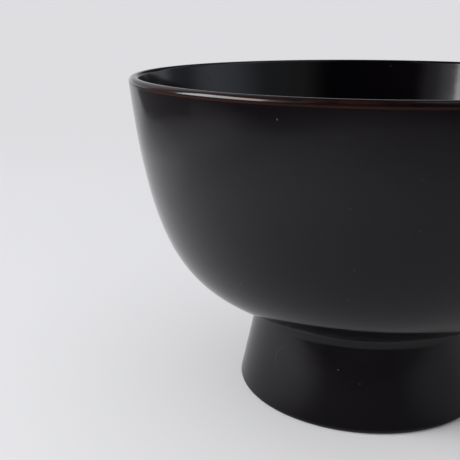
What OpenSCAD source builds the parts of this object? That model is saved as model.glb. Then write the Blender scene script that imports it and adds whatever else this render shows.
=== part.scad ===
// Black lacquered soup bowl on a high flared foot.
// A turned wooden bowl and a turned foot ring are glued together, bound with
// cloth strips, and covered with ground, red-brown and black coats of lacquer.
// The part stands on Z = 0 with its axis on Z, and all lengths are in millimetres.

/* [Bowl] */
// Diameter over the lip
rim_d = 120; // [108:1:136]
// Height from the table to the top of the lip
bowl_h = 80.5; // [74:0.5:92]
// Slant of the wall under the lip, from upright, in degrees
wall_lean = 6.1; // [3:0.1:10]
// How far down the wall keeps that slant before the belly turns in
wall_pull = 49; // [42:0.5:54]
// Slope of the underside where it meets the foot, in degrees
under_slope = 20; // [14:1:26]
// How far out the underside keeps that slope before the belly turns up
under_pull = 17.3; // [14:0.1:21]
// Extra thickness of the wooden wall at the belly, over that at the lip
belly_gain = 1.6; // [0.6:0.2:3]
// Thickness of the floor between the inside and the recess under the foot
floor_t = 9.5; // [7:0.5:12]
// How far out from the middle the inside stays nearly flat
well_pull = 47.5; // [40:0.5:50]
// How far down the inside keeps the wall's slant
well_drop = 36.5; // [30:0.5:40]

/* [Lip] */
// Width of the finished lip
lip_w = 2.4; // [2.2:0.1:4]
// Rounding of the wood at the lip's outer edge
lip_round = 0.3; // [0.1:0.05:0.5]
// Rounding of the wood at the lip's inner edge
edge_round = 0.15; // [0.1:0.05:0.4]
// Width of the red-brown line left bare under the lip
line_w = 0.4; // [0.2:0.1:1]

/* [Foot] */
// Widest diameter of the foot, just above the table
foot_d = 64.8; // [60:0.2:72]
// Diameter of the wooden foot where it meets the bowl
neck_d = 54.1; // [50:0.1:57]
// Height at which the wooden foot meets the bowl
neck_h = 23; // [21:0.2:26]
// Slant of the foot's wall at its top, in degrees
neck_lean = 11.5; // [8:0.5:15]
// Slant of the foot's wall at the table, in degrees
foot_lean = 12.5; // [8:0.5:15]
// Thickness of the finished foot ring at the table
foot_wall = 4.5; // [3.5:0.1:6]
// Rounding of the wood at the standing edge
base_round = 0.15; // [0.1:0.05:0.6]
// Reach of the filled cove between bowl and foot, along each of them
cove_w = 3.5; // [2:0.1:4.5]
// Depth of the recess under the foot
recess_depth = 16; // [12:0.5:17]
// Slant of the recess wall, in degrees
recess_lean = 11; // [6:0.5:13]
// Rounding of the finished corner at the top of the recess
recess_round = 2; // [1:0.2:4]
// Diameter of the boss under the bowl that the foot ring is glued on
boss_d = 43.9; // [36:0.1:45]
// Gap for glue around the boss
glue_gap = 0.05; // [0.02:0.01:0.15]

/* [Lacquer] */
// Thickness of the cloth strips
cloth_t = 0.2; // [0.12:0.01:0.26]
// Thickness of the ground coat where it lies on bare wood
ground_t = 0.32; // [0.28:0.01:0.4]
// Thickness of the red-brown undercoat
under_t = 0.12; // [0.08:0.01:0.2]
// Thickness of the black coats together
top_t = 0.26; // [0.2:0.01:0.3]
// How far the rim cloth reaches down the wall, inside and outside
rim_cloth_w = 9; // [5:0.5:15]
// How far the joint cloth reaches past the cove, on bowl and foot
joint_cloth_w = 5; // [3:0.5:8]
// How far the foot cloth reaches up from the table, inside and outside
foot_cloth_w = 6; // [3:0.5:8]

/* [Hidden] */

// Colours of the pieces
top_colour = "#141316";
under_colour = "#6b3216";
ground_colour = "#4a4038";
cloth_colour = "#b9a582";
putty_colour = "#8a6a45";
wood_colour = "#c79a66";

// Steps of the round shapes
$fn = 120;
curve_steps = 22;
short_steps = 6;
arc_steps = 4;

// Heights of the films above the wood
under_top = ground_t + under_t;
coat_t = under_top + top_t;

// Wooden levels and radii behind the finished sizes
lip_z = bowl_h - coat_t;
floor_z = recess_depth + floor_t - coat_t;
ceiling_z = recess_depth + coat_t;
bore_r = boss_d / 2 + glue_gap;
recess_bend = recess_round + coat_t;

// Points closer than this count as one
same_point = 0.0005;
// Share of a pull that rounds a corner like an arc
round_share = 0.55;

// Vectors, and a turn to the left of one
function heading(angle) = [cos(angle), sin(angle)];
function unit(v) = v / norm(v);
function left(v) = [-v[1], v[0]];

// A station is a point of an outline and its outward normal, as [point, normal].
// Every outline runs from the axis up the inside, over the lip, down the outside,
// under the standing edge and up the recess, so that air is always on its left.

// Place and direction on a cubic curve, given by four points
function place(c, t) =
  pow(1 - t, 3) * c[0] + 3 * pow(1 - t, 2) * t * c[1]
  + 3 * (1 - t) * t * t * c[2] + pow(t, 3) * c[3];
function way(c, t) =
  pow(1 - t, 2) * (c[1] - c[0]) + 2 * (1 - t) * t * (c[2] - c[1])
  + t * t * (c[3] - c[2]);
function stations(c, from, to, steps) =
  [for (i = [0 : steps]) let (t = from + (to - from) * i / steps)
    [place(c, t), left(unit(way(c, t)))]];

// An arc about a centre; a negative radius makes it hollow
function arc(centre, radius, from, to) =
  [for (i = [0 : arc_steps]) let (n = heading(from + (to - from) * i / arc_steps))
    [centre + radius * n, n]];

// Stations lifted off the wood by a height, without doubled points
function raise(path, height) = [for (s = path) s[0] + height * s[1]];
function tidy(points) =
  [for (i = [0 : len(points) - 1])
    if (i == 0 || norm(points[i] - points[i - 1]) > same_point) points[i]];
function reversed(list) = [for (i = [len(list) - 1 : -1 : 0]) list[i]];
function last(list) = list[len(list) - 1];

// Lip: two rounded edges with a flat between them
inner_edge = [rim_d / 2 - lip_w + coat_t + edge_round, lip_z - edge_round];
outer_edge = [rim_d / 2 - coat_t - lip_round, lip_z - lip_round];
lip = concat(
  arc(inner_edge, edge_round, 180 - wall_lean, 90),
  arc(outer_edge, lip_round, 90, -wall_lean)
);

// Belly: from the lip down to the foot
up_wall = heading(90 - wall_lean);
wall_top = last(lip)[0];
neck = [neck_d / 2, neck_h];
belly_c = [
  wall_top, wall_top - wall_pull * up_wall,
  neck + under_pull * heading(under_slope), neck
];

// Well: from the middle of the inside up to the lip
well_c = [
  [0, floor_z], [well_pull, floor_z],
  lip[0][0] - well_drop * up_wall - [belly_gain, 0], lip[0][0]
];

// Foot wall: from the neck down to the standing edge
base_z = coat_t + base_round;
outer_base = [foot_d / 2 - coat_t - base_round, base_z];
inner_base = [foot_d / 2 - foot_wall + coat_t + base_round, base_z];
foot_end = outer_base + base_round * heading(foot_lean);
foot_pull = norm(foot_end - neck) / 3;
foot_c = [
  neck, neck + foot_pull * heading(neck_lean - 90),
  foot_end - foot_pull * heading(foot_lean - 90), foot_end
];

// Standing edge, recess wall, its rounded corner, and the ceiling
foot_edge = concat(
  arc(outer_base, base_round, foot_lean, -90),
  arc(inner_base, base_round, -90, recess_lean - 180)
);
recess_foot = last(foot_edge)[0];
bend_z = ceiling_z - recess_bend;
bend_r = recess_foot[0]
  - (recess_bend + sin(recess_lean) * (bend_z - recess_foot[1])) / cos(recess_lean);
recess_bend_arc = arc([bend_r, bend_z], -recess_bend, recess_lean - 180, -90);
recess_c = [
  recess_foot, recess_foot + (recess_bend_arc[0][0] - recess_foot) / 3,
  recess_foot + (recess_bend_arc[0][0] - recess_foot) * 2 / 3, recess_bend_arc[0][0]
];
ceiling = [last(recess_bend_arc), [[0, ceiling_z], heading(-90)]];

// Shares of the curves at which lines, strips and the cove begin or end
line_share = line_w / (3 * wall_pull);
wall_cloth_share = rim_cloth_w / (3 * wall_pull);
cove_on_belly_share = 1 - cove_w / (3 * under_pull);
cove_on_foot_share = cove_w / (3 * foot_pull);
joint_on_belly_share = 1 - (cove_w + joint_cloth_w) / (3 * under_pull);
joint_on_foot_share = (cove_w + joint_cloth_w) / (3 * foot_pull);
base_on_foot_share = 1 - foot_cloth_w / (3 * foot_pull);
base_on_recess_share = foot_cloth_w / norm(recess_c[3] - recess_c[0]);

// Cove between belly and foot: each of its ends runs on from the curve it starts on
cove_top = place(belly_c, cove_on_belly_share);
cove_low = place(foot_c, cove_on_foot_share);
cove_c = [
  cove_top,
  cove_top + round_share * norm(neck - cove_top) * unit(way(belly_c, cove_on_belly_share)),
  cove_low - round_share * norm(neck - cove_low) * unit(way(foot_c, cove_on_foot_share)),
  cove_low
];
cove = stations(cove_c, 0, 1, short_steps);

// Stretches of the outside and of the recess, with cloth below or without
well = stations(well_c, 0, 1 - wall_cloth_share, curve_steps);
well_cloth = stations(well_c, 1 - wall_cloth_share, 1, short_steps);
line = stations(belly_c, 0, line_share, 1);
wall_cloth = stations(belly_c, line_share, wall_cloth_share, short_steps);
belly = stations(belly_c, wall_cloth_share, joint_on_belly_share, curve_steps);
joint_above = stations(belly_c, joint_on_belly_share, cove_on_belly_share, short_steps);
belly_putty = stations(belly_c, cove_on_belly_share, 1, short_steps);
foot_putty = stations(foot_c, 0, cove_on_foot_share, short_steps);
joint_below = stations(foot_c, cove_on_foot_share, joint_on_foot_share, short_steps);
foot_side = stations(foot_c, joint_on_foot_share, base_on_foot_share, short_steps);
foot_side_cloth = stations(foot_c, base_on_foot_share, 1, short_steps);
recess_cloth = stations(recess_c, 0, base_on_recess_share, 1);
recess_side = concat(
  stations(recess_c, base_on_recess_share, 1, 1), recess_bend_arc, ceiling
);

inside_path = concat(well, well_cloth, lip);
below_line = concat(wall_cloth, belly, joint_above, cove, joint_below, foot_side, foot_side_cloth);
recess_path = concat(recess_cloth, recess_side);

// A turned solid, from its half section
module turned(points) {
  rotate_extrude() polygon(tidy(points));
}

// A film between two rows of points that run the same way
module film(low, high) {
  turned(concat(low, reversed(high)));
}

// Cloth lies on the wood, under the ground coat
module cloth_strip(path) {
  film(raise(path, 0), raise(path, cloth_t));
}

// Turned core of the bowl, with the boss that the foot ring is glued on
module wood_bowl() {
  color(wood_colour)
    turned(concat(
      raise(concat(inside_path, line, wall_cloth, belly, joint_above, belly_putty), 0),
      [[boss_d / 2, neck_h], [boss_d / 2, ceiling_z], [0, ceiling_z]]
    ));
}

// Turned foot ring: its bore takes the boss, and its top carries the bowl
module wood_foot() {
  color(wood_colour)
    turned(concat(
      [[bore_r, neck_h]],
      raise(concat(foot_putty, joint_below, foot_side, foot_side_cloth, foot_edge), 0),
      raise(concat(recess_cloth, recess_bend_arc), 0), [[bore_r, ceiling_z]]
    ));
}

// Ring of putty that fills the corner between bowl and foot
module joint_putty() {
  color(putty_colour)
    film(raise(cove, 0), raise(concat(belly_putty, foot_putty), 0));
}

// Hemp strip folded over the lip
module rim_cloth() {
  color(cloth_colour) cloth_strip(concat(well_cloth, lip, line, wall_cloth));
}

// Hemp strip over the glued joint
module joint_cloth() {
  color(cloth_colour) cloth_strip(concat(joint_above, cove, joint_below));
}

// Hemp strip folded round the standing edge
module foot_cloth() {
  color(cloth_colour) cloth_strip(concat(foot_side_cloth, foot_edge, recess_cloth));
}

// Ground coat of the inside and the lip
module inside_ground() {
  color(ground_colour)
    film(
      concat(raise(well, 0), raise(concat(well_cloth, lip), cloth_t)),
      raise(inside_path, ground_t)
    );
}

// Ground coat of the outside, from the lip to the standing edge
module outside_ground() {
  color(ground_colour)
    film(
      concat(
        raise(concat(line, wall_cloth), cloth_t), raise(belly, 0),
        raise(concat(joint_above, cove, joint_below), cloth_t),
        raise(foot_side, 0), raise(foot_side_cloth, cloth_t)
      ),
      raise(concat(line, below_line), ground_t)
    );
}

// Ground coat of the standing edge and the recess
module recess_ground() {
  color(ground_colour)
    film(
      concat(raise(concat(foot_edge, recess_cloth), cloth_t), raise(recess_side, 0)),
      raise(concat(foot_edge, recess_path), ground_t)
    );
}

// Red-brown coat of the inside and the lip
module inside_undercoat() {
  color(under_colour)
    film(raise(inside_path, ground_t), raise(inside_path, under_top));
}

// Red-brown coat of the outside, which comes to the surface as the line under the lip
module outside_undercoat() {
  color(under_colour)
    film(
      raise(concat(line, below_line), ground_t),
      concat(raise(line, coat_t), raise(below_line, under_top))
    );
}

// Red-brown coat of the standing edge and the recess
module recess_undercoat() {
  color(under_colour)
    film(
      raise(concat(foot_edge, recess_path), ground_t),
      raise(concat(foot_edge, recess_path), under_top)
    );
}

// Black coat of the inside and the lip
module inside_topcoat() {
  color(top_colour)
    film(raise(inside_path, under_top), raise(inside_path, coat_t));
}

// Black coat of the outside, from the line under the lip to the standing edge
module outside_topcoat() {
  color(top_colour)
    film(raise(below_line, under_top), raise(below_line, coat_t));
}

// Black coat of the recess under the foot
module recess_topcoat() {
  color(top_colour)
    film(raise(recess_path, under_top), raise(recess_path, coat_t));
}

// Black coat of the standing edge, the only piece that meets the table
module foot_edge_coat() {
  color(top_colour)
    film(raise(foot_edge, under_top), raise(foot_edge, coat_t));
}

wood_bowl();
wood_foot();
joint_putty();
rim_cloth();
joint_cloth();
foot_cloth();
inside_ground();
outside_ground();
recess_ground();
inside_undercoat();
outside_undercoat();
recess_undercoat();
inside_topcoat();
outside_topcoat();
recess_topcoat();
foot_edge_coat();
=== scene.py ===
"""Black lacquered soup bowl on a high flared foot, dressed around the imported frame.

Every piece is turned about the Z axis, so each one is a half section swept round it.
Half sections are written in millimetres, from the same sizes as the part's source,
and become metres when the mesh is made.
"""
import math

import bmesh
import bpy
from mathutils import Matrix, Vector


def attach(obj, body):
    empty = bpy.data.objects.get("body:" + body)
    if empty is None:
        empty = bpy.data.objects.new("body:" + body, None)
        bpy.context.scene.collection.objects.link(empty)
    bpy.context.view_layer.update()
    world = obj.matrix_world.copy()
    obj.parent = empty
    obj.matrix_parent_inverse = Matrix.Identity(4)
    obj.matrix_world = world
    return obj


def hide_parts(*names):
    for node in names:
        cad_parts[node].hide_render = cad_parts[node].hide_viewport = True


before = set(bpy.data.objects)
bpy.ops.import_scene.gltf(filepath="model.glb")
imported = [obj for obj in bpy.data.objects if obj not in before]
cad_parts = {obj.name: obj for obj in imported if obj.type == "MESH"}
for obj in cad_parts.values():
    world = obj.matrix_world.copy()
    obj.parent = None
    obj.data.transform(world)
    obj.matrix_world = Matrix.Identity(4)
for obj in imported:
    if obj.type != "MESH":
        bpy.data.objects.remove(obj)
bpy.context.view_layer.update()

MM = 0.001

# ---------------------------------------------------------------- sizes, in mm and degrees
RIM_D, BOWL_H = 120.0, 80.5
WALL_LEAN, WALL_PULL = 6.1, 49.0
UNDER_SLOPE, UNDER_PULL = 20.0, 17.3
BELLY_GAIN, FLOOR_T, WELL_PULL, WELL_DROP = 1.6, 9.5, 47.5, 36.5
LIP_W, LIP_ROUND, EDGE_ROUND, LINE_W = 2.4, 0.3, 0.15, 0.4
FOOT_D, NECK_D, NECK_H = 64.8, 54.1, 23.0
NECK_LEAN, FOOT_LEAN, FOOT_WALL, BASE_ROUND = 11.5, 12.5, 4.5, 0.15
COVE_W = 3.5
RECESS_DEPTH, RECESS_LEAN, RECESS_ROUND = 16.0, 11.0, 2.0
BOSS_D, GLUE_GAP = 43.9, 0.05
CLOTH_T, GROUND_T, UNDER_T, TOP_T = 0.2, 0.32, 0.12, 0.26
RIM_CLOTH_W, JOINT_CLOTH_W, FOOT_CLOTH_W = 9.0, 5.0, 6.0
ROUND_SHARE = 0.55

UNDER_TOP = GROUND_T + UNDER_T
COAT_T = UNDER_TOP + TOP_T
CEILING_Z = RECESS_DEPTH + COAT_T
BORE_R = BOSS_D / 2 + GLUE_GAP

# Fineness of hidden layers and of what shows: a factor on the steps of the half sections,
# and the steps of the turn that goes with it
HIDDEN, SHOWN = 1, 3
LONG_STEPS, SHORT_STEPS, ARC_STEPS = 22, 6, 4
TURN_STEPS = {HIDDEN: 96, SHOWN: 192}


# ---------------------------------------------------------------- half sections
def heading(angle):
    return Vector((math.cos(math.radians(angle)), math.sin(math.radians(angle))))


def place(c, t):
    """Place on a cubic curve, given by four points."""
    s = 1 - t
    return s**3 * c[0] + 3 * s * s * t * c[1] + 3 * s * t * t * c[2] + t**3 * c[3]


def way(c, t):
    """Direction of a cubic curve."""
    s = 1 - t
    along = s * s * (c[1] - c[0]) + 2 * s * t * (c[2] - c[1]) + t * t * (c[3] - c[2])
    return along.normalized()


def stations(c, start, end, steps):
    """Points of a cubic with their outward normals; air is on the left of the way."""
    out = []
    for i in range(steps + 1):
        t = start + (end - start) * i / steps
        w = way(c, t)
        out.append((place(c, t), Vector((-w.y, w.x))))
    return out


def arc(centre, radius, start, end, steps):
    """Stations of an arc; a negative radius makes it hollow."""
    out = []
    for i in range(steps + 1):
        n = heading(start + (end - start) * i / steps)
        out.append((centre + radius * n, n))
    return out


def outline(fine):
    """Every stretch of the bowl's surface, from the middle of the inside, over the lip,
    down the outside, under the standing edge and up into the recess."""
    long, short, turn = LONG_STEPS * fine, SHORT_STEPS * fine, ARC_STEPS * fine
    p = {}
    lip_z = BOWL_H - COAT_T
    inner_edge = Vector((RIM_D / 2 - LIP_W + COAT_T + EDGE_ROUND, lip_z - EDGE_ROUND))
    outer_edge = Vector((RIM_D / 2 - COAT_T - LIP_ROUND, lip_z - LIP_ROUND))
    p["lip"] = arc(inner_edge, EDGE_ROUND, 180 - WALL_LEAN, 90, turn) + arc(
        outer_edge, LIP_ROUND, 90, -WALL_LEAN, turn
    )
    up_wall = heading(90 - WALL_LEAN)
    wall_top, well_top = p["lip"][-1][0], p["lip"][0][0]
    neck = Vector((NECK_D / 2, NECK_H))
    belly_c = [
        wall_top,
        wall_top - WALL_PULL * up_wall,
        neck + UNDER_PULL * heading(UNDER_SLOPE),
        neck,
    ]
    floor_z = RECESS_DEPTH + FLOOR_T - COAT_T
    well_c = [
        Vector((0, floor_z)),
        Vector((WELL_PULL, floor_z)),
        well_top - WELL_DROP * up_wall - Vector((BELLY_GAIN, 0)),
        well_top,
    ]

    base_z = COAT_T + BASE_ROUND
    outer_base = Vector((FOOT_D / 2 - COAT_T - BASE_ROUND, base_z))
    inner_base = Vector((FOOT_D / 2 - FOOT_WALL + COAT_T + BASE_ROUND, base_z))
    foot_end = outer_base + BASE_ROUND * heading(FOOT_LEAN)
    foot_pull = (foot_end - neck).length / 3
    foot_c = [
        neck,
        neck + foot_pull * heading(NECK_LEAN - 90),
        foot_end - foot_pull * heading(FOOT_LEAN - 90),
        foot_end,
    ]
    p["foot_edge"] = arc(outer_base, BASE_ROUND, FOOT_LEAN, -90, turn) + arc(
        inner_base, BASE_ROUND, -90, RECESS_LEAN - 180, turn
    )
    recess_foot = p["foot_edge"][-1][0]
    bend = RECESS_ROUND + COAT_T
    bend_z = CEILING_Z - bend
    lean = math.radians(RECESS_LEAN)
    bend_r = recess_foot.x - (bend + math.sin(lean) * (bend_z - recess_foot.y)) / math.cos(lean)
    p["recess_bend"] = arc(Vector((bend_r, bend_z)), -bend, RECESS_LEAN - 180, -90, turn)
    bend_foot = p["recess_bend"][0][0]
    recess_c = [recess_foot.lerp(bend_foot, i / 3) for i in range(4)]
    ceiling = [p["recess_bend"][-1], (Vector((0, CEILING_Z)), heading(-90))]

    # Shares of the curves at which the line, the strips and the cove begin or end
    line = LINE_W / (3 * WALL_PULL)
    wall_cloth = RIM_CLOTH_W / (3 * WALL_PULL)
    cove_on_belly = 1 - COVE_W / (3 * UNDER_PULL)
    cove_on_foot = COVE_W / (3 * foot_pull)
    joint_on_belly = 1 - (COVE_W + JOINT_CLOTH_W) / (3 * UNDER_PULL)
    joint_on_foot = (COVE_W + JOINT_CLOTH_W) / (3 * foot_pull)
    base_on_foot = 1 - FOOT_CLOTH_W / (3 * foot_pull)
    base_on_recess = FOOT_CLOTH_W / (recess_c[3] - recess_c[0]).length
    top, low = place(belly_c, cove_on_belly), place(foot_c, cove_on_foot)
    cove_c = [
        top,
        top + ROUND_SHARE * (neck - top).length * way(belly_c, cove_on_belly),
        low - ROUND_SHARE * (neck - low).length * way(foot_c, cove_on_foot),
        low,
    ]

    p["well"] = stations(well_c, 0, 1 - wall_cloth, long)
    p["well_cloth"] = stations(well_c, 1 - wall_cloth, 1, short)
    p["line"] = stations(belly_c, 0, line, fine)
    p["wall_cloth"] = stations(belly_c, line, wall_cloth, short)
    p["belly"] = stations(belly_c, wall_cloth, joint_on_belly, long)
    p["joint_above"] = stations(belly_c, joint_on_belly, cove_on_belly, short)
    p["belly_putty"] = stations(belly_c, cove_on_belly, 1, short)
    p["cove"] = stations(cove_c, 0, 1, short)
    p["foot_putty"] = stations(foot_c, 0, cove_on_foot, short)
    p["joint_below"] = stations(foot_c, cove_on_foot, joint_on_foot, short)
    p["foot_side"] = stations(foot_c, joint_on_foot, base_on_foot, short)
    p["foot_side_cloth"] = stations(foot_c, base_on_foot, 1, short)
    p["recess_cloth"] = stations(recess_c, 0, base_on_recess, fine)
    p["recess_side"] = stations(recess_c, base_on_recess, 1, fine) + p["recess_bend"] + ceiling
    return p


OUTLINES = {fine: outline(fine) for fine in (HIDDEN, SHOWN)}
INSIDE = ("well", "well_cloth", "lip")
BELOW_LINE = (
    "wall_cloth", "belly", "joint_above", "cove", "joint_below", "foot_side", "foot_side_cloth"
)
RECESS = ("recess_cloth", "recess_side")


def lift(fine, names, height):
    """The named stretches, lifted off the wood by a height in mm."""
    return [s[0] + height * s[1] for name in names for s in OUTLINES[fine][name]]


def film(low, high):
    """A half section between two rows of points that run the same way."""
    return low + high[::-1]


def band(fine, names, low, high):
    """A film over the named stretches, between two heights over the wood."""
    return film(lift(fine, names, low), lift(fine, names, high))


# ---------------------------------------------------------------- turning
SAME = 0.0005  # points closer than this, in mm, count as one
SHARP = math.radians(40)  # edges that turn by more stay sharp


def add_object(name, mesh, material):
    obj = bpy.data.objects.new(name, mesh)
    bpy.context.scene.collection.objects.link(obj)
    mesh.materials.append(material)
    return obj


def turned(name, points, fine, material):
    """Sweeps a closed half section round the axis; it replaces the CAD node of its name."""
    ring = [points[0]]
    for q in points[1:]:
        if (q - ring[-1]).length > SAME:
            ring.append(q)
    if (ring[0] - ring[-1]).length <= SAME:
        ring.pop()
    bm = bmesh.new()
    n = TURN_STEPS[fine]
    rows = []
    for q in ring:
        if q.x < SAME:
            rows.append([bm.verts.new((0, 0, q.y * MM))] * n)
            continue
        rows.append([
            bm.verts.new((
                q.x * MM * math.cos(2 * math.pi * k / n),
                q.x * MM * math.sin(2 * math.pi * k / n),
                q.y * MM,
            ))
            for k in range(n)
        ])
    for a, b in zip(rows, rows[1:] + rows[:1]):
        for k in range(n):
            j = (k + 1) % n
            corners = []
            for v in (a[k], a[j], b[j], b[k]):
                if v not in corners:
                    corners.append(v)
            if len(corners) > 2:
                bm.faces.new(corners)
    bmesh.ops.recalc_face_normals(bm, faces=bm.faces)
    for f in bm.faces:
        f.smooth = True
    mesh = bpy.data.meshes.new(name + "_turned")
    bm.to_mesh(mesh)
    bm.free()
    mesh.set_sharp_from_angle(angle=SHARP)
    piece = add_object(name + "_turned", mesh, material)
    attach(piece, "root")
    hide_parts(name)


# ---------------------------------------------------------------- nodes
class Nodes:
    """The nodes of a material or of the world, with short calls to add and join them."""

    def __init__(self, owner, shader="Principled BSDF", output="Material Output"):
        owner.use_nodes = True
        self.owner, self.tree = owner, owner.node_tree
        self.shader, self.output = self.tree.nodes[shader], self.tree.nodes[output]

    def add(self, kind, **settings):
        node = self.tree.nodes.new("ShaderNode" + kind)
        for key, value in settings.items():
            setattr(node, key, value)
        return node

    def feed(self, socket, value):
        """Joins an output to an input, or sets the input to a plain value."""
        if isinstance(value, bpy.types.NodeSocket):
            self.tree.links.new(value, socket)
        else:
            socket.default_value = value

    def fill(self, node, **inputs):
        """Feeds a node's inputs by their names, with _ for each space, and returns the node."""
        for name, value in inputs.items():
            self.feed(node.inputs[name.replace("_", " ")], value)
        return node

    def math(self, operation, a, b=0.0):
        node = self.add("Math", operation=operation)
        self.feed(node.inputs[0], a)
        self.feed(node.inputs[1], b)
        return node.outputs["Value"]

    def plus(self, a, b):
        return self.math("ADD", a, b)

    def minus(self, a, b):
        return self.math("SUBTRACT", a, b)

    def times(self, a, b):
        return self.math("MULTIPLY", a, b)

    def position(self, stretch=(1, 1, 1), shift=(0, 0, 0)):
        """The place on the object, in metres, stretched and then shifted."""
        here = self.add("TexCoord").outputs["Object"]
        node = self.fill(self.add("Mapping"), Vector=here, Scale=stretch, Location=shift)
        return node.outputs["Vector"]

    def axes(self, vector):
        return self.fill(self.add("SeparateXYZ"), Vector=vector).outputs

    def noise(self, vector, scale, detail, roughness=0.5):
        node = self.add("TexNoise")
        self.fill(node, Vector=vector, Scale=scale, Detail=detail, Roughness=roughness)
        return node.outputs["Fac"]

    def cells(self, vector, scale):
        """Distance from the nearest of many scattered points, in cells."""
        node = self.add("TexVoronoi", feature="F1")
        return self.fill(node, Vector=vector, Scale=scale).outputs["Distance"]

    def spread(self, value, low, high, to_low=0.0, to_high=1.0, smooth=True):
        """Maps the range from low to high to another one, with soft ends unless told not to."""
        node = self.add("MapRange", interpolation_type="SMOOTHSTEP" if smooth else "LINEAR")
        self.fill(node, Value=value, From_Min=low, From_Max=high, To_Min=to_low, To_Max=to_high)
        return node.outputs["Result"]

    def mix(self, share, a, b):
        """Colour a, with a share of colour b."""
        node = self.add("Mix", data_type="RGBA")
        for index, value in ((0, share), (6, a), (7, b)):
            self.feed(node.inputs[index], value)
        return node.outputs[2]

    def bump(self, height, distance, below=None):
        """Relief of a height in metres, on top of the relief below."""
        node = self.fill(self.add("Bump"), Height=height, Distance=distance)
        if below is not None:
            self.fill(node, Normal=below)
        return node.outputs["Normal"]

    def glow(self, colour, strength=1.0):
        return self.fill(self.add("Emission"), Color=colour, Strength=strength).outputs[0]

    def shade_mix(self, share, a, b):
        """Shader a, with a share of shader b."""
        node = self.add("MixShader")
        for socket, value in zip(node.inputs, (share, a, b)):
            self.feed(socket, value)
        return node.outputs[0]

    def background_rays(self):
        """1 for rays that should see the pale background: camera, glossy and transmission."""
        path = self.add("LightPath").outputs
        seen = self.math("MAXIMUM", path["Is Camera Ray"], path["Is Glossy Ray"])
        return self.math("MAXIMUM", seen, path["Is Transmission Ray"])


def new_material(name):
    return Nodes(bpy.data.materials.new(name))


# ---------------------------------------------------------------- materials
# Lacquer. Lengths are in metres; the other pairs are levels of a noise, which runs from 0 to 1
LACQUER_IOR = 1.39
EDGE_R = RIM_D / 2 * MM
WORN_EDGE = (EDGE_R - 0.0006, EDGE_R - 0.0001)  # radii between which the lip's edge wears
WORN_PATCHES, WORN_SHARE = (0.42, 0.62), (0.1, 0.5)
NIB_CELL, NIB_R, NIB_CORE = 0.0052, 0.00024, 0.4  # spacing and size of dust nibs; flat share
HAIRLINE = (0.0004, 0.0016)  # core and edge of a hairline, which follows the noise's middle
HAIRLINE_PLACES, HAIRLINE_SHARE = (0.74, 0.78), 0.6
FAULT_TINT, FAULT_ROUGH = 0.6, 0.25  # what nibs and hairlines add to colour and roughness
HAZE, HAZE_ROUGH = (0.3, 0.75), (-0.015, 0.02)
RUBBED, RUBBED_ROUGH = (0.35, 0.7), 0.012
RIPPLE_H, RUBBED_H, NIB_H = 0.00002, 0.0000004, 0.00004  # heights of the relief
DUST = (0.035, 0.032, 0.032, 1)


def lacquer(name, dark, light, rough, shows=None):
    """Brushed and rubbed lacquer: soft rings left by the brush, patchy sheen, fine rubbing
    marks round the turn, a few dust nibs under the last coat and a few hairline scratches.
    shows is (colour, height, reach) of a coat that shines through where hands rub the lip."""
    m = new_material(name)
    here = m.position()
    colour = m.mix(m.spread(m.noise(here, 45, 3), 0.35, 0.7), dark, light)
    if shows:
        under, height, reach = shows
        axes = m.axes(here)
        across = m.math("SQRT", m.plus(m.times(axes["X"], axes["X"]),
                                       m.times(axes["Y"], axes["Y"])))
        worn = m.times(m.spread(axes["Z"], height - reach, height),
                       m.spread(across, *WORN_EDGE))
        patches = m.spread(m.noise(here, 120, 3), *WORN_PATCHES, *WORN_SHARE)
        colour = m.mix(m.times(worn, patches), colour, under)

    nib_edge = NIB_R / NIB_CELL
    nib = m.spread(m.cells(here, 1 / NIB_CELL), NIB_CORE * nib_edge, nib_edge, 1.0, 0.0)
    off_line = m.math("ABSOLUTE", m.minus(m.noise(here, 28, 1), 0.5))
    where = m.spread(m.noise(m.position((1, 1, 1.3)), 80, 0), *HAIRLINE_PLACES, 0.0, HAIRLINE_SHARE)
    hairline = m.times(m.spread(off_line, *HAIRLINE, 1.0, 0.0), where)
    fault = m.math("MAXIMUM", nib, hairline)

    rubbed = m.noise(m.position((1, 1, 30)), 55, 2)
    sheen = m.plus(m.spread(m.noise(here, 160, 4, 0.6), *HAZE, *(rough + r for r in HAZE_ROUGH)),
                   m.spread(rubbed, *RUBBED, 0.0, RUBBED_ROUGH))
    ripple = m.bump(m.noise(m.position((1, 1, 3)), 90, 1), RIPPLE_H)
    m.fill(
        m.shader,
        IOR=LACQUER_IOR,
        Base_Color=m.mix(m.times(fault, FAULT_TINT), colour, DUST),
        Roughness=m.plus(sheen, m.times(fault, FAULT_ROUGH)),
        Normal=m.bump(nib, NIB_H, m.bump(rubbed, RUBBED_H, ripple)),
    )
    return m.owner


SPECK = (0.16, 0.14, 0.12, 1)


def ground_coat(name, dark, light):
    """Clay and lacquer, rubbed down level: mineral specks and marks of the stone."""
    m = new_material(name)
    specks = m.noise(m.position(), 1800, 3, 0.7)
    tone = m.spread(m.noise(m.position(), 70, 3), 0.3, 0.7)
    stone = m.noise(m.position((1, 1, 25)), 90, 3)
    m.fill(
        m.shader,
        Base_Color=m.mix(m.spread(specks, 0.62, 0.7, 0.0, 0.5), m.mix(tone, dark, light), SPECK),
        Roughness=m.spread(stone, 0.3, 0.7, 0.72, 0.9),
        Normal=m.bump(specks, 0.00001, m.bump(stone, 0.00001)),
    )
    return m.owner


def wood_putty(name, dark, light):
    """Wood powder in lacquer: coarse grains, some of them dark."""
    m = new_material(name)
    tone = m.spread(m.noise(m.position(), 300, 3), 0.3, 0.7)
    grains = m.spread(m.cells(m.position(), 2200), 0.2, 0.6)
    m.fill(
        m.shader,
        Base_Color=m.mix(m.times(tone, grains), dark, light),
        Roughness=m.spread(grains, 0.0, 1.0, 0.7, 0.9),
        Normal=m.bump(grains, 0.00004),
    )
    return m.owner


THREAD, WARP_THREADS = 0.0007, 420  # width of a hemp thread, and threads round the turn


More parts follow.
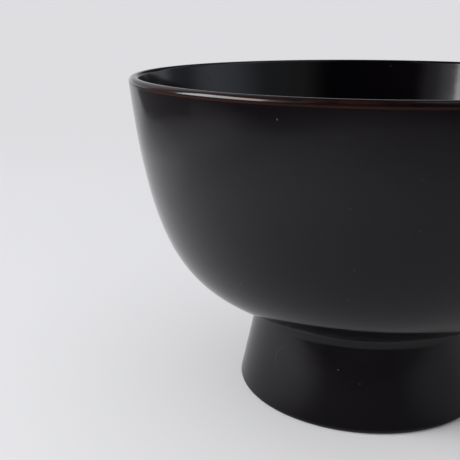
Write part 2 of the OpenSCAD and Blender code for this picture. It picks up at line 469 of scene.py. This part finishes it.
def hemp_cloth(name, dark, light):
    """Plain weave of uneven threads: warp round the turn and weft up it, over and under."""
    m = new_material(name)
    axes = m.axes(m.position())
    uneven = m.spread(m.noise(m.position(), 260, 2), 0.3, 0.7, -0.5, 0.5)
    turn = m.times(m.math("ARCTAN2", axes["Y"], axes["X"]), WARP_THREADS / 2)
    rise = m.times(axes["Z"], math.pi / THREAD)
    warp, weft = (m.math("SINE", m.plus(angle, uneven)) for angle in (turn, rise))
    over = m.spread(m.times(warp, weft), -0.15, 0.15)
    threads = m.plus(m.times(over, m.math("ABSOLUTE", warp)),
                     m.times(m.minus(1.0, over), m.math("ABSOLUTE", weft)))
    fibres = m.noise(m.position(), 2500, 3, 0.7)
    tone = m.times(threads, m.spread(fibres, 0.3, 0.7, 0.6, 1.0))
    m.fill(
        m.shader,
        Base_Color=m.mix(tone, dark, light),
        Roughness=m.spread(fibres, 0.3, 0.7, 0.82, 0.95),
        Normal=m.bump(threads, 0.00008, m.bump(fibres, 0.00001)),
    )
    return m.owner


PITH_DEPTH, RING_W = 0.11, 0.0028  # the tree's centre lies this far off; width of a ring


def turned_wood(name, late, early):
    """Plank-cut wood: growth rings about a far centre, pores along the grain, tool marks."""
    m = new_material(name)
    rings = m.add("TexWave", wave_type="RINGS", rings_direction="Y", wave_profile="SAW")
    m.fill(rings, Vector=m.position((1, 0.15, 1), (0, 0, PITH_DEPTH)),
           Scale=2 * math.pi / (20 * RING_W), Distortion=2.5, Detail=2.0, Detail_Scale=0.5)
    pores = m.noise(m.position((1, 0.06, 1)), 1400, 2)
    tone = m.times(rings.outputs["Fac"], m.spread(pores, 0.35, 0.6, 0.45, 1.0))
    tool = m.noise(m.position((0.2, 0.2, 1)), 700, 1)
    m.fill(
        m.shader,
        Base_Color=m.mix(tone, late, early),
        Roughness=m.spread(pores, 0.3, 0.7, 0.75, 0.55),
        Normal=m.bump(pores, 0.00003, m.bump(tool, 0.00002)),
    )
    return m.owner


WEAR_COLOUR, WEAR_REACH = (0.05, 0.015, 0.006, 1), 0.0012  # reach in metres, down from the lip
TOP = lacquer("black_lacquer", (0.0020, 0.0013, 0.0022, 1), (0.0029, 0.0018, 0.0031, 1), 0.115,
              (WEAR_COLOUR, BOWL_H * MM, WEAR_REACH))
BROWN = lacquer("red_brown_lacquer", (0.0125, 0.0034, 0.0010, 1), (0.022, 0.0064, 0.0022, 1),
                0.18)
GROUND = ground_coat("ground_coat", (0.05, 0.04, 0.032, 1), (0.09, 0.072, 0.058, 1))
CLOTH = hemp_cloth("hemp_cloth", (0.24, 0.17, 0.09, 1), (0.52, 0.42, 0.28, 1))
PUTTY = wood_putty("wood_putty", (0.13, 0.07, 0.03, 1), (0.34, 0.2, 0.1, 1))
WOOD = turned_wood("turned_wood", (0.36, 0.2, 0.09, 1), (0.62, 0.42, 0.24, 1))

# ---------------------------------------------------------------- pieces
H, S = HIDDEN, SHOWN
turned("wood_bowl",
       lift(H, INSIDE + ("line", "wall_cloth", "belly", "joint_above", "belly_putty"), 0)
       + [Vector((BOSS_D / 2, NECK_H)), Vector((BOSS_D / 2, CEILING_Z)), Vector((0, CEILING_Z))],
       H, WOOD)
turned("wood_foot",
       [Vector((BORE_R, NECK_H))]
       + lift(H, ("foot_putty", "joint_below", "foot_side", "foot_side_cloth", "foot_edge",
                  "recess_cloth", "recess_bend"), 0)
       + [Vector((BORE_R, CEILING_Z))],
       H, WOOD)
turned("joint_putty",
       film(lift(H, ("cove",), 0), lift(H, ("belly_putty", "foot_putty"), 0)),
       H, PUTTY)
for node, names in (
    ("rim_cloth", ("well_cloth", "lip", "line", "wall_cloth")),
    ("joint_cloth", ("joint_above", "cove", "joint_below")),
    ("foot_cloth", ("foot_side_cloth", "foot_edge", "recess_cloth")),
):
    turned(node, band(H, names, 0, CLOTH_T), H, CLOTH)
turned("inside_ground",
       film(lift(H, ("well",), 0) + lift(H, ("well_cloth", "lip"), CLOTH_T),
            lift(H, INSIDE, GROUND_T)),
       H, GROUND)
turned("outside_ground",
       film(lift(H, ("line", "wall_cloth"), CLOTH_T) + lift(H, ("belly",), 0)
            + lift(H, ("joint_above", "cove", "joint_below"), CLOTH_T)
            + lift(H, ("foot_side",), 0) + lift(H, ("foot_side_cloth",), CLOTH_T),
            lift(H, ("line",) + BELOW_LINE, GROUND_T)),
       H, GROUND)
turned("recess_ground",
       film(lift(H, ("foot_edge", "recess_cloth"), CLOTH_T) + lift(H, ("recess_side",), 0),
            lift(H, ("foot_edge",) + RECESS, GROUND_T)),
       H, GROUND)
turned("inside_undercoat", band(H, INSIDE, GROUND_T, UNDER_TOP), H, BROWN)
turned("outside_undercoat",
       film(lift(S, ("line",) + BELOW_LINE, GROUND_T),
            lift(S, ("line",), COAT_T) + lift(S, BELOW_LINE, UNDER_TOP)),
       S, BROWN)
turned("recess_undercoat", band(H, ("foot_edge",) + RECESS, GROUND_T, UNDER_TOP),
       H, BROWN)
for node, names in (
    ("inside_topcoat", INSIDE),
    ("outside_topcoat", BELOW_LINE),
    ("recess_topcoat", RECESS),
    ("foot_edge_coat", ("foot_edge",)),
):
    turned(node, band(S, names, UNDER_TOP, COAT_T), S, TOP)

# ---------------------------------------------------------------- floor, in metres
# The camera sees only the floor and the pale background. The black lacquer also mirrors
# the room round the set: a window on the left and dimmer walls.
PALE = (0.728, 0.728, 0.752, 1)  # background, as bright as the lit floor
FLOOR = (0.86, 0.86, 0.872, 1)
FLOOR_BACK_SHADE = (0.785, 0.785, 0.80, 1)  # painted shade: a little darker behind and left of the bowl
BACK_WAY, BACK_FROM = (-0.6, 0.8), (-0.02, 0.20)
FLOOR_ROUGH, FLOOR_GLOSS = 0.9, 0.1
FADE = (0.16, 0.5)  # the floor turns into the background between these radii
FLOOR_R, FLOOR_CORNERS = 8.0, 96
FLOOR_GAP = 0.00002  # keeps the floor clear of the standing edge

# Painted light for mirrored rays: where the pale sheet ends its light changes across these soft
# borders, and beyond them the floor glows dim
DIM = (0.095, 0.092, 0.098, 1)
LEFT_END = (-0.363, -0.211)
FRONT_END = (-0.340, -0.120)
CORNER_WAY = (-0.524, -0.852)
CORNER_END = (0.215, 0.295)
RING_END, RING_FADE = (0.235, 0.300), (0.140, 0.250)  # distances from the bowl's axis
RING_EDGE = 0.6  # share of the light that ends at RING_END; the rest ends at RING_FADE
RING_FROM, RING_BACK = (-0.26, -0.14), (-0.12, 0.0)
# Painted shade for mirrored rays: right of the bowl the sheet keeps only a share of its light
RIGHT_SHADE_SPAN, RIGHT_SHADE_SHARE = (-0.132, 0.070), 0.62
NEAR_SIDE = (0.10, 0.30)  # behind this the sheet keeps all its light
# Painted shade for mirrored rays: the cloth in front is darkened where the foot mirrors it at a low
# angle, standing in for the weave's shaded sides
LOW_ANGLE, LOW_LOSS = (0.70, 0.86), 0.80
AHEAD_LEFT, AHEAD_RIGHT, RIGHT_LOSS = (-0.92, -0.38), (0.50, 0.92), 0.75
AHEAD_BACK = (-0.03, 0.0)


def floor_material():
    """Pale cloth that fades into the background far from the bowl, and into the dim room
    for mirrored rays that meet it in front of the set or left of it."""
    m = new_material("pale_floor")
    here = m.position()
    x, y, _ = m.axes(here)
    length = m.add("VectorMath", operation="LENGTH")
    m.feed(length.inputs[0], here)
    radius = length.outputs["Value"]

    def along(direction):
        return m.plus(m.times(x, direction[0]), m.times(y, direction[1]))

    # Painted shade: the floor's colour darkens behind and left of the bowl
    m.fill(m.shader, Roughness=FLOOR_ROUGH, Specular_IOR_Level=FLOOR_GLOSS,
           Base_Color=m.mix(m.spread(along(BACK_WAY), *BACK_FROM), FLOOR, FLOOR_BACK_SHADE))
    far = m.times(m.spread(radius, *FADE), m.background_rays())
    surface = m.shade_mix(far, m.shader.outputs[0], m.glow(PALE))

    straight = m.spread(y, *FRONT_END)
    ring = m.plus(m.spread(radius, *RING_END, RING_EDGE, 0.0),
                  m.spread(radius, *RING_FADE, 1 - RING_EDGE, 0.0))
    front = m.plus(straight, m.times(m.spread(x, *RING_FROM), m.minus(ring, straight)))
    front = m.math("MAXIMUM", front, m.spread(y, *RING_BACK))
    lit = m.times(m.spread(x, *LEFT_END, smooth=False),
                  m.times(front, m.spread(along(CORNER_WAY), *CORNER_END, 1.0, 0.0)))
    # painted shade right of the bowl, for mirrored rays
    lit = m.times(lit, m.spread(x, *RIGHT_SHADE_SPAN, 1.0, RIGHT_SHADE_SHARE))

    # Painted shade in front of the foot, for mirrored rays at a low angle
    aside = m.math("DIVIDE", x, radius)
    ahead = m.times(m.spread(aside, *AHEAD_LEFT),
                    m.spread(aside, *AHEAD_RIGHT, 1.0, 1 - RIGHT_LOSS))
    ahead = m.times(ahead, m.spread(y, *AHEAD_BACK, 1.0, 0.0))
    facing = m.fill(m.add("LayerWeight"), Blend=0.5).outputs["Facing"]
    low = m.times(ahead, m.spread(facing, *LOW_ANGLE, 0.0, LOW_LOSS))
    lit = m.times(lit, m.minus(1.0, low))

    # Painted reflection: mirrored rays see the floor glow DIM where the sheet's light ends
    dim = m.times(m.minus(1.0, lit), m.spread(y, *NEAR_SIDE, 1.0, 0.0))
    glossy = m.add("LightPath").outputs["Is Glossy Ray"]
    m.fill(m.output, Surface=m.shade_mix(m.times(dim, glossy), surface, m.glow(DIM)))
    return m.owner


def stage_piece(name, corners, material):
    """One flat stage piece from its corners."""
    mesh = bpy.data.meshes.new(name)
    mesh.from_pydata(corners, [], [tuple(range(len(corners)))])
    obj = add_object(name, mesh, material)
    return obj


angles = [2 * math.pi * k / FLOOR_CORNERS for k in range(FLOOR_CORNERS)]
floor = stage_piece("floor", [(FLOOR_R * math.cos(a), FLOOR_R * math.sin(a), 0) for a in angles],
                    floor_material())
floor.location.z = -FLOOR_GAP

# ---------------------------------------------------------------- room, in metres
ROOM = 2.6  # height of the room, and its reach from the bowl's axis
LEFT_X, LEFT_FROM, LEFT_TO = -2.58, -7, 1.45
FRONT_Y, FRONT_FROM = -0.32, -0.15
RIGHT_X, RIGHT_TO = 0.42, 0.8
BACK_Y, BACK_LOW = 1.3, 0.10
DARK_BOX_Z = 0.0002  # it lies just above the floor
DARK_BOX = (
    (-0.300, -0.060), (-0.307, -0.022), (-0.328, 0.143), (-0.334, 0.190),
    (-0.40, 0.297), (-0.72, 0.80), (-1.59, 0.80), (-1.59, -0.06),
)


def upright(start, end, low=0):
    """Corners of an upright wall between two places on the floor."""
    return [(*start, low), (*end, low), (*end, ROOM), (*start, ROOM)]


def wall(name, corners, tint, level, *steps):
    """A flat glowing piece of the room, painted light seen only in the lacquer. Its brightness
    starts at level, and each step (axis, from, to, change) adds its change across a soft stretch of
    that axis."""
    m = new_material(name)
    axes = m.axes(m.position())
    for axis, start, end, change in steps:
        level = m.plus(m.spread(axes[axis], start, end, 0.0, change), level)
    m.fill(m.output, Surface=m.glow(tint, level))
    obj = stage_piece(name, corners, m.owner)
    obj.visible_camera = obj.visible_diffuse = obj.visible_shadow = False
    obj.visible_transmission = obj.visible_volume_scatter = False


wall("left_wall", upright((LEFT_X, LEFT_FROM), (LEFT_X, LEFT_TO)), (0.98, 0.98, 1.04, 1), 0.02,
     ("Y", -5.8, -3.9, 0.4), ("Y", -3.9, -2.6, 1.0), ("Y", -0.5, 0.5, -1.2))
wall("front_wall", upright((FRONT_FROM, FRONT_Y), (RIGHT_X, FRONT_Y)), (1.0, 0.98, 1.0, 1), 0.17,
     ("Z", 0.05, 0.12, -0.16), ("X", 0.16, 0.32, 0.27))
wall("right_wall", upright((RIGHT_X, FRONT_Y), (RIGHT_X, RIGHT_TO)), (0.92, 0.98, 1.1, 1), 0.33,
     ("Y", -0.2, 0.06, 0.64), ("Y", 0.1, 0.33, -0.70), ("Y", 0.45, 0.65, 0.35))
wall("back_wall", upright((LEFT_X, BACK_Y), (ROOM, BACK_Y), BACK_LOW), (0.98, 0.98, 1.02, 1), 0.97,
     ("Z", 0.12, 0.40, -0.45), ("X", -0.72, -0.28, -0.47))
wall("ceiling",
     [(-ROOM, -ROOM, ROOM), (ROOM, -ROOM, ROOM), (ROOM, ROOM, ROOM), (-ROOM, ROOM, ROOM)],
     (1, 1, 1, 1), 0.07)
wall("dark_box", [(*corner, DARK_BOX_Z) for corner in DARK_BOX], (1, 0.98, 1.04, 1), 0.16)

# ---------------------------------------------------------------- window and soft light
WINDOW_X, WINDOW_Y, WINDOW_Z = -2.5, (-2.37, 0.10), (0.30, 2.03)
WINDOW_RADIANCE = 9.3
SOFT_LIGHT, AMBIENT = (0.97, 0.97, 1.0, 1), 0.58

lamp = bpy.data.lights.new("window", "AREA")
lamp.shape = "RECTANGLE"
lamp.size, lamp.size_y = WINDOW_Y[1] - WINDOW_Y[0], WINDOW_Z[1] - WINDOW_Z[0]
lamp.energy = WINDOW_RADIANCE * math.pi * lamp.size * lamp.size_y
window = bpy.data.objects.new("window", lamp)
bpy.context.scene.collection.objects.link(window)
window.location = (WINDOW_X, sum(WINDOW_Y) / 2, sum(WINDOW_Z) / 2)
window.rotation_mode = "QUATERNION"
window.rotation_quaternion = Vector((WINDOW_X, 0, 0)).to_track_quat("Z", "Y")

world = Nodes(bpy.data.worlds.new("studio"), "Background", "World Output")
bpy.context.scene.world = world.owner
world.fill(world.shader, Color=SOFT_LIGHT, Strength=AMBIENT)
pale = world.fill(world.add("Background"), Color=PALE)
world.fill(world.output, Surface=world.shade_mix(
    world.background_rays(), world.shader.outputs[0], pale.outputs[0]))

# ---------------------------------------------------------------- camera
CAMERA_AT = (0.0, -0.1904, 0.0946)
YAW, PITCH = 0.1879, 0.2812  # radians, to the left and down
LENS, SENSOR = 58.54, 36.0
NEAREST, FARTHEST = 0.01, 20
cam_data = bpy.data.cameras.new("camera")
cam_data.lens, cam_data.sensor_width = LENS, SENSOR
cam_data.clip_start, cam_data.clip_end = NEAREST, FARTHEST
camera = bpy.data.objects.new("camera", cam_data)
bpy.context.scene.collection.objects.link(camera)
camera.location = CAMERA_AT
camera.rotation_euler = (math.pi / 2 - PITCH, 0, YAW)
bpy.context.scene.camera = camera

bpy.context.scene.view_settings.view_transform = "Standard"
